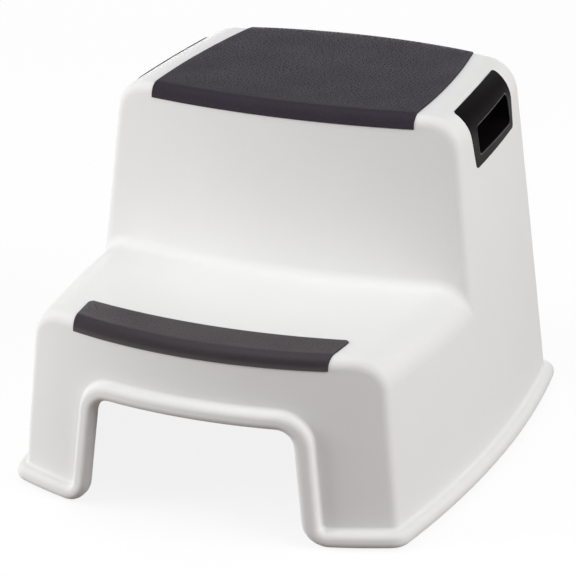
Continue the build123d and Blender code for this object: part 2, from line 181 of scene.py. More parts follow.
def outward(points, faces):
    """The faces, turned over if the volume that they enclose comes out negative.

    The volume is a sixth of the sum of box products of the corners of each face, fanned into triangles.
    """
    total = 0.0
    for face_size in sorted({len(face) for face in faces}):
        corners = points[np.array([face for face in faces if len(face) == face_size])]
        fan = np.cross(corners[:, 1:-1], corners[:, 2:])
        total += float(np.sum(corners[:, :1] * fan))
    return faces if total > 0 else [list(face)[::-1] for face in faces]


def add_piece(name, points, faces, material):
    """Makes a mesh piece from points in millimetres, sharp at hard corners, that rides with the stool."""
    points = np.asarray(points, float)
    mesh = bpy.data.meshes.new(name)
    mesh.from_pydata((points * mm).tolist(), [], outward(points, faces))
    mesh.polygons.foreach_set("use_smooth", np.ones(len(mesh.polygons), bool))
    mesh.set_sharp_from_angle(angle=math.radians(sharp_corner))
    mesh.update()
    piece = bpy.data.objects.new(name, mesh)
    bpy.context.scene.collection.objects.link(piece)
    mesh.materials.append(material)
    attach(piece, "root")
    return piece


def grid_faces(rows, columns, wrap_rows=False, wrap_columns=False):
    """Four-sided faces between neighbouring points of a grid that is stored row by row."""
    row = np.arange(rows if wrap_rows else rows - 1)[:, None]
    column = np.arange(columns if wrap_columns else columns - 1)[None, :]
    next_row = (row + 1) % rows
    next_column = (column + 1) % columns
    corners = [
        row * columns + column,
        row * columns + next_column,
        next_row * columns + next_column,
        next_row * columns + column,
    ]
    return np.stack(corners, axis=-1).reshape(-1, 4).tolist()


def unit(vectors):
    """The vectors, each divided by its length."""
    return vectors / np.linalg.norm(vectors, axis=-1, keepdims=True)


def join(parts):
    """Points and faces of several meshes as one mesh."""
    points = np.concatenate([part[0] for part in parts])
    starts = np.cumsum([0] + [len(part[0]) for part in parts[:-1]])
    faces = [[int(i) + int(start) for i in face] for part, start in zip(parts, starts) for face in part[1]]
    return points, faces


def rounded_path(corners, radii, step):
    """A line through corners in a plane, each rounded by an arc, with points about one step apart.

    The arc of a corner touches both its lines at radius times the tangent of half the turn from it. The
    first and the last corner stay as they are.
    """
    corners = np.asarray(corners, float)
    pieces = [corners[:1]]
    for before, corner, after, radius in zip(corners[:-2], corners[1:-1], corners[2:], radii):
        arriving = unit(corner - before)
        leaving = unit(after - corner)
        side = math.copysign(1, arriving[0] * leaving[1] - arriving[1] * leaving[0])
        turn = math.acos(np.clip(arriving @ leaving, -1, 1))
        touch = corner - arriving * radius * math.tan(turn / 2)
        across = side * np.array([-arriving[1], arriving[0]])
        angle = np.linspace(0, turn, max(4, int(radius * turn / step) + 2))[:, None]
        pieces.append(touch + radius * (np.sin(angle) * arriving + (1 - np.cos(angle)) * across))
    pieces.append(corners[-1:])
    rough = np.concatenate(pieces)
    lengths = np.linalg.norm(np.diff(rough, axis=0), axis=1)
    counts = np.maximum(1, np.round(lengths / step)).astype(int)
    runs = [a + (b - a) * np.arange(n)[:, None] / n for a, b, n in zip(rough[:-1], rough[1:], counts)]
    return np.concatenate(runs + [rough[-1:]])


# The stool's own surfaces


def lean(z, low_z, low, high_z, high):
    """Place at height z on a straight line through two known heights."""
    return low + (high - low) * (z - low_z) / (high_z - low_z)


def arc_drop(distance, half_span, bow):
    """How far an arc with that bow over its half span has dropped at a distance from its middle."""
    radius = (half_span**2 + bow**2) / (2 * bow)
    return radius - np.sqrt(radius**2 - distance**2)


riser_axis_y = riser_tread_y + riser_bow_radius
front_axis_y = front_floor_y + front_bow_radius
back_axis_y = back_floor_y - back_bow_radius
side_slope = (side_floor_x - side_top_x) / top_height
front_slope = (front_tread_y - front_floor_y) / tread_height
riser_slope = (riser_top_y - riser_tread_y) / (top_height - tread_height)
back_slope = (back_floor_y - back_top_y) / top_height


def side_x(y, z):
    """Right-hand wall: a leaning straight line, less the drop of its bow in plan."""
    bow = lean(z, 0, side_floor_bow, top_height, side_top_bow)
    return lean(z, 0, side_floor_x, top_height, side_top_x) - arc_drop(y - side_bow_y, side_bow_span, bow)


def riser_radius(z):
    """Distance of the riser from the upright axis that it bows about."""
    return riser_axis_y - lean(z, tread_height, riser_tread_y, top_height, riser_top_y)


def front_radius(z):
    """Distance of the front wall from the upright axis that it bows about."""
    return front_axis_y - lean(z, 0, front_floor_y, tread_height, front_tread_y)


def back_radius(z):
    """Distance of the back wall from the upright axis that it bows about."""
    return lean(z, 0, back_floor_y, top_height, back_top_y) - back_axis_y


def side_wall(grow):
    """Distance outside the nearer side wall moved out by grow, measured square to its lean."""

    def distance(point):
        past = np.abs(point[..., 0]) - side_x(point[..., 1], point[..., 2]) - grow
        return past / math.hypot(1, side_slope)

    return distance


def turned_wall(axis_y, radius_at, slope, grow):
    """Distance outside a wall turned about an upright axis and moved out by grow, square to its lean."""

    def distance(point):
        past = np.hypot(point[..., 0], point[..., 1] - axis_y) - radius_at(point[..., 2]) - grow
        return past / math.hypot(1, slope)

    return distance


def front_wall(grow):
    """Distance outside the front wall moved out by grow."""
    return turned_wall(front_axis_y, front_radius, front_slope, grow)


def riser_wall(grow):
    """Distance outside the riser moved out by grow."""
    return turned_wall(riser_axis_y, riser_radius, riser_slope, grow)


def back_wall(grow):
    """Distance outside the back wall moved out by grow."""
    return turned_wall(back_axis_y, back_radius, back_slope, grow)


def level(height):
    """Distance above a level plane."""
    return lambda point: point[..., 2] - height


def slope_of(distance, point, step=0.01):
    """Gradient of a distance function by central differences in x, y and z."""
    steps = step * np.eye(3)
    parts = [(distance(point + s) - distance(point - s)) / (2 * step) for s in steps]
    return np.stack(parts, axis=-1)


def rounded(first, second, radius):
    """Distance outside two walls whose common edge is rounded.

    Beside the edge it is the larger of the two wall distances. Over the edge it is the distance from
    the axis of the rounding, which lies one radius inside both walls, less that radius.
    """

    def distance(point):
        one = first(point)
        two = second(point)
        across = np.sum(slope_of(first, point) * slope_of(second, point), axis=-1)
        from_one = one + radius
        from_two = two + radius
        over_edge = (from_one > across * from_two) & (from_two > across * from_one)
        squared = (from_one**2 - 2 * across * from_one * from_two + from_two**2) / (1 - across**2)
        return np.where(over_edge, np.sqrt(np.maximum(squared, 0)) - radius, np.maximum(one, two))

    return distance


def meeting_point(distances, start):
    """Where three distance functions are all zero, by Newton's steps from a near start."""
    point = np.asarray(start, float)
    for _ in range(newton_steps):
        errors = np.stack([distance(point) for distance in distances], axis=-1)
        slopes = np.stack([slope_of(distance, point) for distance in distances], axis=-2)
        point = point - np.linalg.solve(slopes, errors[..., None])[..., 0]
    return point


def shifted(distance, amount):
    """A distance function lessened by an amount, so that its zero moves out by it."""
    return lambda point: distance(point) - amount


# Coves


def rolled_cove(on_first, on_second, radius, start, path_direction):
    """Sections of the cove that a ball leaves when it rolls in the corner of two surfaces.

    At each station the ball's centre is one radius outside both surfaces, in the plane across the path.
    A section is the arc of the ball between its two touching points, closed by a point inside the corner.
    """

    def across_path(point):
        return np.sum((point - start) * path_direction, axis=-1)

    centre = start
    for _ in range(newton_steps):
        errors = [on_first(centre) - radius, on_second(centre) - radius, across_path(centre)]
        slopes = [slope_of(on_first, centre), slope_of(on_second, centre), path_direction]
        move = np.linalg.solve(np.stack(slopes, axis=-2), np.stack(errors, axis=-1)[..., None])
        centre = centre - move[..., 0]
    to_first = -unit(slope_of(on_first, centre))
    to_second = -unit(slope_of(on_second, centre))
    opening = np.arccos(np.clip(np.sum(to_first * to_second, axis=-1), -1, 1))[:, None, None]
    share = np.linspace(0, 1, cove_arc_points)[None, :, None]
    ray = np.sin((1 - share) * opening) * to_first[:, None] + np.sin(share * opening) * to_second[:, None]
    arc = centre[:, None] + radius * unit(ray)
    to_corner = radius / np.cos(opening[:, :, 0] / 2) + cove_sink
    corner = centre + unit(to_first + to_second) * to_corner
    return np.concatenate([arc, corner[:, None]], axis=1)


def riser_cove(material):
    """A ball rolled along the corner of riser and lower tread.

    The planes across the path are upright along the flat tread, then go through the axis of the tread's
    rounded shoulder.
    """
    side = side_wall(0)
    on_riser = rounded(riser_wall(0), side, edge_round)
    on_tread = rounded(level(tread_height), side, lower_shoulder)
    lean_angle = math.atan(side_slope)
    axis_z = tread_height - lower_shoulder
    axis_x = float(side_x(riser_tread_y, axis_z)) - lower_shoulder / math.cos(lean_angle)
    flat_x = np.linspace(0, axis_x, int(axis_x / cove_step))
    last_turn = lean_angle + math.radians(cove_stop_angle)
    turn = np.linspace(math.pi / 2, last_turn, shoulder_stations)[1:]
    reach = lower_shoulder + riser_cove_radius
    level_z = np.full(len(flat_x), tread_height + riser_cove_radius)
    start_x = np.concatenate([flat_x, axis_x + reach * np.cos(turn)])
    start_z = np.concatenate([level_z, axis_z + reach * np.sin(turn)])
    start_y = riser_axis_y - np.sqrt((riser_radius(start_z) + riser_cove_radius) ** 2 - start_x**2)
    along_x = np.concatenate([np.ones(len(flat_x)), np.sin(turn)])
    along_z = np.concatenate([np.zeros(len(flat_x)), -np.cos(turn)])
    start = np.stack([start_x, start_y, start_z], axis=-1)
    direction = np.stack([along_x, np.zeros_like(along_x), along_z], axis=-1)
    half = rolled_cove(on_riser, on_tread, riser_cove_radius, start, direction)
    whole = np.concatenate([half[:0:-1] * np.array([-1.0, 1.0, 1.0]), half])
    rows, columns = whole.shape[:2]
    faces = grid_faces(rows, columns, wrap_columns=True)
    faces.append(list(range(columns))[::-1])
    faces.append(list(range((rows - 1) * columns, rows * columns)))
    add_piece("shell_riser_cove", whole.reshape(-1, 3), faces, material)


def arch_bead_x(z):
    """Outer edge of the bead beside the arch, which leans with the arch's leg."""
    return lean(z, foot_proud, arch_floor_x, arch_height, arch_top_x) + arch_rim_width


def rim_line():
    """Half of the line where the bead's top meets the wall, from the middle of the front to the back.

    At the front it is the bead's outline over the arch and along the floor, laid on the bowed front wall.
    Then it follows the rounded front corner, the side, the rounded back corner and the back wall.
    """
    floor_z = foot_proud + rim_height
    top_z = arch_height + arch_rim_height
    side = side_wall(0)
    front = front_wall(0)
    back = back_wall(0)
    on_level = level(floor_z)
    front_centre = meeting_point(
        [shifted(front, -edge_round), shifted(side, -edge_round), on_level],
        (*front_corner_guess, floor_z),
    )
    back_centre = meeting_point(
        [shifted(side, -back_edge_round), shifted(back, -back_edge_round), on_level],
        (*back_corner_guess, floor_z),
    )

    def corner(centre, first, second, radius):
        directions = [slope_of(distance, centre) for distance in (first, second)]
        start, end = [math.atan2(direction[1], direction[0]) for direction in directions]
        angle = np.linspace(start, end, int(radius * abs(end - start) / cove_step) + 3)
        turned = [np.cos(angle), np.sin(angle), np.zeros_like(angle)]
        return centre + radius * np.stack(turned, axis=-1)

    front_corner = corner(front_centre, front, side, edge_round)
    back_corner = corner(back_centre, side, back, back_edge_round)
    outline_corners = [
        (0, top_z),
        (arch_bead_x(top_z), top_z),
        (arch_bead_x(floor_z), floor_z),
        (front_corner[0, 0], floor_z),
    ]
    outline = rounded_path(outline_corners, (arch_rim_corner, arch_rim_foot_round), cove_step)
    outline_y = front_axis_y - np.sqrt(front_radius(outline[:, 1]) ** 2 - outline[:, 0] ** 2)
    on_front = np.stack([outline[:, 0], outline_y, outline[:, 1]], axis=-1)
    side_y = np.arange(front_corner[-1, 1] + cove_step, back_corner[0, 1] - cove_step, cove_step)
    on_side = np.stack([side_x(side_y, floor_z), side_y, np.full(len(side_y), floor_z)], axis=-1)
    back_x = np.linspace(back_corner[-1, 0], 0, int(back_corner[-1, 0] / cove_step))[1:]
    back_y = back_axis_y + np.sqrt(back_radius(floor_z) ** 2 - back_x**2)
    on_back = np.stack([back_x, back_y, np.full(len(back_x), floor_z)], axis=-1)
    return np.concatenate([on_front, front_corner[1:], on_side, back_corner, on_back])


def rim_cove(material):
    """A ball rolled along the corner of the walls and the top of the bead, all round the stool.

    The bead is the band below its outline, cut off by the walls moved out, with the edge rounded. The band
    is all that lies below the floor line or inside the arch line, so its corners are rounded the other way.
    """
    on_walls = rounded(rounded(front_wall(0), side_wall(0), edge_round), back_wall(0), back_edge_round)
    proud_round = edge_round + rim_proud
    proud_front_side = rounded(front_wall(rim_proud), side_wall(rim_proud), proud_round)
    proud_walls = rounded(proud_front_side, back_wall(rim_proud), proud_round)
    arch_slope = (arch_floor_x - arch_top_x) / (arch_height - foot_proud)

    def beside_arch(point):
        return (np.abs(point[..., 0]) - arch_bead_x(point[..., 2])) / math.hypot(1, arch_slope)

    outside_arch = rounded(beside_arch, level(arch_height + arch_rim_height), arch_rim_corner)
    above_floor = level(foot_proud + rim_height)

    def under_floor_line(point):
        return -above_floor(point)

    def inside_arch_line(point):
        return np.where(point[..., 1] < 0, -outside_arch(point), -far)

    panel = rounded(under_floor_line, inside_arch_line, arch_rim_foot_round)

    def outside_band(point):
        return -panel(point)

    on_bead = rounded(outside_band, proud_walls, rim_round)
    line = rim_line()
    direction = unit(np.gradient(line, axis=0))
    direction[0] = (1, 0, 0)
    direction[-1] = (-1, 0, 0)
    normal = unit(slope_of(on_walls, line))
    start = line + rim_cove_radius * (normal + np.cross(normal, direction))
    half = rolled_cove(on_walls, on_bead, rim_cove_radius, start, direction)
    whole = np.concatenate([half, half[-2:0:-1] * np.array([-1.0, 1.0, 1.0])])
    rows, columns = whole.shape[:2]
    faces = grid_faces(rows, columns, wrap_rows=True, wrap_columns=True)
    add_piece("shell_rim_cove", whole.reshape(-1, 3), faces, material)


# Tread pads


def arc_through(first, middle, last):
    """Centre and radius of the circle through three points."""
    points = np.array([first, middle, last], float)
    rows = 2 * (points[1:] - points[0])
    sums = np.sum(points[1:] ** 2, axis=1) - np.sum(points[0] ** 2)
    centre = np.linalg.solve(rows, sums)
    return centre, float(np.linalg.norm(points[0] - centre))


def rim_steps():
    """Inset and drop of points round a pad's edge: its underside, then a quarter circle up to the top."""
    angle = np.linspace(0, math.pi / 2, pad_rim_points)
    inset = np.concatenate([[0], pad_rim_round * (1 - np.cos(angle))])
    drop = np.concatenate([[pad_thickness], pad_rim_round * (1 - np.sin(angle))])
    return inset, drop


def pad_body(axis_y, radius_at, slope, tread, lip, half_width, back_line, corner, top_z):
    """A pad's closed skin: up its lip, round the fold over the nosing and back over the tread.

    Each row is at one distance from the axis of the bow and one height, or at one share of the way from
    the fold to the back edge. Columns run across it. Near an edge the skin drops along its normal by a
    quarter circle, then down to its underside, which has the same outline.
    """
    fold_radius = edge_round + pad_proud
    centre_z = tread - edge_round
    centre_radius = float(radius_at(centre_z)) - edge_round * math.hypot(1, slope)
    tilt = math.atan(slope)
    inset, drop = rim_steps()
    lip_length = (centre_z + fold_radius * math.sin(tilt) - (tread - lip)) / math.cos(tilt)
    lip_at = np.concatenate([inset, [lip_length * pad_lip_row]])
    lip_below = lip_length - lip_at
    lip_radius_at = centre_radius + fold_radius * math.cos(tilt) + lip_below * math.sin(tilt)
    lip_z = centre_z + fold_radius * math.sin(tilt) - lip_below * math.cos(tilt)
    fold_angle = np.linspace(tilt, math.pi / 2, pad_fold_rows)
    section_radius = np.concatenate([lip_radius_at, centre_radius + fold_radius * np.cos(fold_angle)])
    section_z = np.concatenate([lip_z, centre_z + fold_radius * np.sin(fold_angle)])
    section_angle = np.concatenate([np.full(len(lip_at), tilt), fold_angle])
    section_drop = np.concatenate([drop, np.zeros(1 + pad_fold_rows)])
    back_inset = np.concatenate([pad_back_rows, inset[::-1]])
    back_drop = np.concatenate([np.zeros(len(pad_back_rows)), drop[::-1]])
    share = np.linspace(0, 1, pad_flat_rows)[1:-1]

    def fold_y(x):
        return axis_y - np.sqrt(centre_radius**2 - x**2)

    section = slice(0, len(section_z))
    flat = slice(len(section_z), None)
    fold_width = float(half_width(axis_y - centre_radius))
    width = np.full(len(section_z) + len(share) + len(back_inset), fold_width)
    from_back = np.concatenate([np.full(len(share), far), back_inset])

    def row_y(x):
        """Depth of the flat rows at places x, one row of places for each."""
        one_a_row = (-1, *([1] * (x.ndim - 1)))
        ahead = fold_y(x[: len(share)])
        reach = back_line(x[: len(share)]) - pad_back_room - ahead
        middle = ahead + share.reshape(one_a_row) * reach
        rear = back_line(x[len(share):]) - back_inset.reshape(one_a_row)
        return np.concatenate([middle, rear])

    for _ in range(pad_outline_steps):
        width[section] = half_width(axis_y - np.sqrt(section_radius**2 - width[section] ** 2))
        edge_y = row_y(width[flat])
        past = np.clip(corner - from_back, 0, corner)
        width[flat] = half_width(edge_y) - (corner - np.sqrt(corner**2 - past**2))
    side_steps = np.linspace(-1, 1, pad_columns)
    column_drop = np.concatenate([drop, np.zeros(pad_columns), drop[::-1]])
    middle_x = (width - pad_rim_round - pad_column_gap)[:, None] * side_steps
    left_x = -width[:, None] + inset
    x = np.concatenate([left_x, middle_x, -left_x[:, ::-1]], axis=1)
    rows, columns = x.shape
    down = np.maximum(np.concatenate([section_drop, np.zeros(len(share)), back_drop])[:, None], column_drop)
    section_x = x[section]
    section_y = axis_y - np.sqrt(section_radius[:, None] ** 2 - section_x**2)
    radial = np.stack([section_x, section_y - axis_y], axis=-1) / section_radius[:, None, None]
    tilt_out = np.cos(section_angle)[:, None, None]
    rise = np.broadcast_to(np.sin(section_angle)[:, None, None], (*section_x.shape, 1))
    section_normal = np.concatenate([radial * tilt_out, rise], axis=-1)
    section_height = np.broadcast_to(section_z[:, None], section_x.shape)
    section_points = np.stack([section_x, section_y, section_height], axis=-1)
    flat_x = x[flat]
    flat_y = row_y(flat_x)
    flat_points = np.stack([flat_x, flat_y, top_z(flat_x, flat_y)], axis=-1)
    flat_normal = np.zeros_like(flat_points)
    flat_normal[..., 2] = 1
    surface = np.concatenate([section_points, flat_points])
    normal = np.concatenate([section_normal, flat_normal])
    upper = surface - normal * down[..., None]
    lower = surface - normal * pad_thickness
    number = np.arange(rows * columns).reshape(rows, columns)
    lower_number = number + rows * columns
    lower_number[0], lower_number[-1] = number[0], number[-1]
    lower_number[:, 0], lower_number[:, -1] = number[:, 0], number[:, -1]
    quads = np.array(grid_faces(rows, columns))
    faces = np.concatenate([quads, lower_number.reshape(-1)[quads][:, ::-1]])
    used, renumbered = np.unique(faces, return_inverse=True)
    points = np.concatenate([upper.reshape(-1, 3), lower.reshape(-1, 3)])[used]
    return points, renumbered.reshape(-1, 4).tolist()


def pebbles(x_range, y_range, half_width, front_line, back_line, height_at):
    """A pebbled grip: low cut-off pyramids, one in each cell of a grid, clear of the pad's edges.

    Each strays from the middle of its cell, is turned by an angle and is scaled, all by seeded chance.
    """
    chance = np.random.default_rng(pebble_seed)
    columns = np.arange(x_range[0], x_range[1], pebble_pitch)
    lines = np.arange(y_range[0], y_range[1], pebble_pitch)
    x, y = [places.reshape(-1) for places in np.meshgrid(columns, lines)]
    x = x + chance.uniform(-pebble_stray, pebble_stray, len(x))
    y = y + chance.uniform(-pebble_stray, pebble_stray, len(y))
    turn = chance.uniform(0, math.pi / 2, len(x))
    scale = chance.uniform(*pebble_scales, len(x))
    within = np.abs(x) < half_width(y) - pebble_margin
    kept = within & (y > front_line(x) + pebble_margin) & (y < back_line(x) - pebble_margin)
    centre = np.stack([x[kept], y[kept], height_at(x[kept], y[kept])], axis=-1)
    angle = turn[kept][:, None] + np.arange(4) * math.pi / 2
    square = np.stack([np.cos(angle), np.sin(angle), np.zeros_like(angle)], axis=-1)
    around = square * scale[kept][:, None, None]
    lift = np.array([0.0, 0.0, 1.0])
    foot_ring = around * pebble_base - lift * pebble_sink
    top_ring = around * pebble_top + lift * pebble_height
    points = (centre[:, None] + np.concatenate([foot_ring, top_ring], axis=1)).reshape(-1, 3)
    shape = np.array([(0, 1, 5, 4), (1, 2, 6, 5), (2, 3, 7, 6), (3, 0, 4, 7), (4, 5, 6, 7), (3, 2, 1, 0)])
    faces = (np.arange(len(centre))[:, None, None] * 8 + shape).reshape(-1, 4)
    return points, faces.tolist()


def pegs(places, tread):
    """Turned pegs under a pad: a stem through the tread and a wider head with a softened edge."""
    under = tread - wall
    low = under - peg_head_height
    profile = np.array(
        [
            (peg_middle, tread - pad_thickness),
            (peg_radius, tread - pad_thickness),
            (peg_radius, under),
            (peg_head_radius, under),
            (peg_head_radius, low + peg_edge),
            (peg_head_radius - peg_edge, low),
            (peg_middle, low),
        ]
    )
    angle = np.linspace(0, 2 * math.pi, peg_sides, endpoint=False)
    ring = np.stack([np.cos(angle), np.sin(angle)], axis=-1)
    across = profile[:, None, :1] * ring[None]
    heights = np.broadcast_to(profile[:, None, 1:], (*across.shape[:2], 1))
    peg = np.concatenate([across, heights], axis=-1).reshape(-1, 3)
    rows = len(profile)
    faces = grid_faces(rows, peg_sides, wrap_columns=True)
    faces.append(list(range(peg_sides)))
    faces.append(list(range((rows - 1) * peg_sides, rows * peg_sides))[::-1])
    faces = [face[::-1] for face in faces]
    return join([(peg + np.array([x, y, 0.0]), faces) for x, y in places])


def upper_tread_pad(material):
    """Upper pad: straight sides over the fold, then drawn in on an arc to a bowed back edge."""
    side_centre, side_radius = arc_through(upper_pad_fold, upper_pad_middle, upper_pad_rear)
    back_left = (-upper_pad_rear[0], upper_pad_rear[1])
    back_centre, back_edge_radius = arc_through(back_left, (0, upper_pad_back_y), upper_pad_rear)
    rounding_z = top_height - back_edge_round
    rounding_radius = float(back_radius(rounding_z)) - back_edge_round * math.hypot(1, back_slope)

    def half_width(y):
        from_centre = np.maximum(y, upper_pad_fold[1]) - side_centre[1]
        drawn_in = side_centre[0] + np.sqrt(side_radius**2 - from_centre**2)
        return np.where(y < upper_pad_fold[1], upper_pad_fold[0], drawn_in)

    def back_line(x):
        return back_centre[1] + np.sqrt(back_edge_radius**2 - x**2)

    def top_z(x, y):
        past = np.maximum(np.hypot(x, y - back_axis_y) - rounding_radius, 0)
        return rounding_z + np.sqrt((back_edge_round + pad_proud) ** 2 - past**2)

    def front_line(x):
        return riser_axis_y - np.sqrt((riser_radius(top_height) - edge_round) ** 2 - x**2)

    body = pad_body(
        riser_axis_y, riser_radius, riser_slope, top_height, upper_pad_lip,
        half_width, back_line, upper_pad_corner, top_z,
    )
    x_range = (-upper_pad_fold[0], upper_pad_fold[0])
    raised = pebbles(x_range, (riser_tread_y, back_top_y), half_width, front_line, back_line, top_z)
    points, faces = join([body, raised, pegs(upper_peg_places, top_height)])
    piece = add_piece("upper_tread_rubber", points, faces, material)
    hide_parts("upper_tread_pad")


def lower_tread_pad(material):
    """Lower pad: a strip that widens to the back, where its edge bows the same way as its front."""
    rear_left = (-lower_pad_rear[0], lower_pad_rear[1])
    back_centre, back_edge_radius = arc_through(rear_left, (0, lower_pad_middle_y), lower_pad_rear)

    def half_width(y):
        share = (y - lower_pad_front[1]) / (lower_pad_rear[1] - lower_pad_front[1])
        return lower_pad_front[0] + (lower_pad_rear[0] - lower_pad_front[0]) * np.maximum(share, 0)

    def back_line(x):
        return back_centre[1] - np.sqrt(back_edge_radius**2 - x**2)

    def top_z(x, y):
        return np.full(np.shape(x), tread_height + pad_proud)

    def front_line(x):
        return front_axis_y - np.sqrt((front_radius(tread_height) - edge_round) ** 2 - x**2)

    body = pad_body(
        front_axis_y, front_radius, front_slope, tread_height, lower_pad_lip,
        half_width, back_line, lower_pad_corner, top_z,
    )
    x_range = (-lower_pad_rear[0], lower_pad_rear[0])
    y_range = (front_floor_y, lower_pad_rear[1])
    raised = pebbles(x_range, y_range, half_width, front_line, back_line, top_z)
    points, faces = join([body, raised, pegs(lower_peg_places, tread_height)])
    piece = add_piece("lower_tread_rubber", points, faces, material)
    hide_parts("lower_tread_pad")


# Hand-holds


def grip_lip(name, side_sign, material):
    """The rounded lip round a finger opening: a thin ring laid on the plate along the opening's edge.

    The edge is the opening's outline in the side view, carried out to the plate, which follows the side
    wall and the shoulder's circle above it. The ring is a circle square to the edge, sunk into the plate.
    """
    corners = np.array(grip_corners)
    middle = (corners[0] + corners[1]) / 2
    way_round = [middle, *corners[1:], corners[0], middle]
    loop = rounded_path(way_round, [grip_corner_round] * len(corners), lip_step)[:-1]
    y, z = loop[:, 0], loop[:, 1]
    on_plate = rounded(side_wall(0), level(top_height), upper_shoulder)
    x = side_x(y, z)
    for _ in range(plate_steps):
        x = x - (on_plate(np.stack([x, y, z], axis=-1)) - plate_proud)
    line = np.stack([x, y, z], axis=-1)
    along = unit(np.roll(line, -1, axis=0) - np.roll(line, 1, axis=0))
    normal = unit(slope_of(on_plate, line))
    outwards = unit(np.cross(normal, along))
    angle = np.linspace(0, 2 * math.pi, lip_sides, endpoint=False)[None, :, None]
    middle_line = line - normal * lip_sink
    circle = np.cos(angle) * normal[:, None] + np.sin(angle) * outwards[:, None]
    ring = (middle_line[:, None] + lip_radius * circle) * np.array([side_sign, 1.0, 1.0])
    rows, columns = ring.shape[:2]
    faces = grid_faces(rows, columns, wrap_rows=True, wrap_columns=True)
    add_piece(name, ring.reshape(-1, 3), faces, material)


# Materials


def new_material(name):
    """A fresh material with its nodes and links."""
    material = bpy.data.materials.new(name)
    material.use_nodes = True
    return material, material.node_tree.nodes, material.node_tree.links


def moulded_grain():
    """Shared surface of moulded plastic and rubber.

    Clouds is a slow drift of tone, Speckle a fine grain, and Height the grain that a bump needs.
    """
    group = bpy.data.node_groups.new("moulded_grain", "ShaderNodeTree")
    face = group.interface
    face.new_socket("Place", in_out="INPUT", socket_type="NodeSocketVector")
    face.new_socket("Cloud Scale", in_out="INPUT", socket_type="NodeSocketFloat")
    face.new_socket("Grain Scale", in_out="INPUT", socket_type="NodeSocketFloat")
    face.new_socket("Clouds", in_out="OUTPUT", socket_type="NodeSocketFloat")
    face.new_socket("Speckle", in_out="OUTPUT", socket_type="NodeSocketFloat")
    face.new_socket("Height", in_out="OUTPUT", socket_type="NodeSocketFloat")
    nodes = group.nodes
    links = group.links
    given = nodes.new("NodeGroupInput")
    result = nodes.new("NodeGroupOutput")
    clouds = nodes.new("ShaderNodeTexNoise")
    clouds.inputs["Detail"].default_value = cloud_detail
    grain = nodes.new("ShaderNodeTexNoise")
    grain.inputs["Detail"].default_value = grain_detail
    pits = nodes.new("ShaderNodeTexVoronoi")
    mix = nodes.new("ShaderNodeMath")
    mix.operation = "MULTIPLY_ADD"
    mix.inputs[1].default_value = pit_share
    links.new(given.outputs["Place"], clouds.inputs["Vector"])
    links.new(given.outputs["Place"], grain.inputs["Vector"])
    links.new(given.outputs["Place"], pits.inputs["Vector"])
    links.new(given.outputs["Cloud Scale"], clouds.inputs["Scale"])
    links.new(given.outputs["Grain Scale"], grain.inputs["Scale"])
    links.new(given.outputs["Grain Scale"], pits.inputs["Scale"])
    links.new(pits.outputs["Distance"], mix.inputs[0])
    links.new(grain.outputs["Fac"], mix.inputs[2])
    links.new(clouds.outputs["Fac"], result.inputs["Clouds"])
    links.new(grain.outputs["Fac"], result.inputs["Speckle"])
    links.new(mix.outputs[0], result.inputs["Height"])
    return group


def between(nodes, links, value, low, high):
    """A value in the range where noise mostly lies, spread from low to high."""
    spread = nodes.new("ShaderNodeMapRange")
    spread.inputs["From Min"].default_value = noise_range[0]
    spread.inputs["From Max"].default_value = noise_range[1]
    spread.inputs["To Min"].default_value = low
    spread.inputs["To Max"].default_value = high
    links.new(value, spread.inputs["Value"])
    return spread.outputs["Result"]


def moulded_finish(name, group, colours, speckle, roughness, scales, bump, specular):
    """A moulded surface: two tones that drift into each other, a fine speckle and a grain with relief.

    Scales are those of clouds and grain. Bump is the relief's strength and its depth in metres.
    """
    material, nodes, links = new_material(name)
    shader = nodes["Principled BSDF"]
    place = nodes.new("ShaderNodeTexCoord")
    surface = nodes.new("ShaderNodeGroup")
    surface.node_tree = group
    surface.inputs["Cloud Scale"].default_value = scales[0]
    surface.inputs["Grain Scale"].default_value = scales[1]
    links.new(place.outputs["Object"], surface.inputs["Place"])
    tones = nodes.new("ShaderNodeMix")
    tones.data_type = "RGBA"
    tones.inputs["A"].default_value = (*colours[0], 1)
    tones.inputs["B"].default_value = (*colours[1], 1)
    links.new(between(nodes, links, surface.outputs["Clouds"], 0, 1), tones.inputs["Factor"])
    grains = nodes.new("ShaderNodeHueSaturation")
    links.new(tones.outputs["Result"], grains.inputs["Color"])
    links.new(between(nodes, links, surface.outputs["Speckle"], *speckle), grains.inputs["Value"])
    links.new(grains.outputs["Color"], shader.inputs["Base Color"])
    links.new(between(nodes, links, surface.outputs["Clouds"], *roughness), shader.inputs["Roughness"])
    relief = nodes.new("ShaderNodeBump")
    relief.inputs["Strength"].default_value = bump[0]
    relief.inputs["Distance"].default_value = bump[1]
    links.new(surface.outputs["Height"], relief.inputs["Height"])
    links.new(relief.outputs["Normal"], shader.inputs["Normal"])
    shader.inputs["Specular IOR Level"].default_value = specular
    return material


def dress(node_name, material):
    """Gives a CAD node its material."""
    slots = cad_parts[node_name].data.materials
    slots.clear()
    slots.append(material)


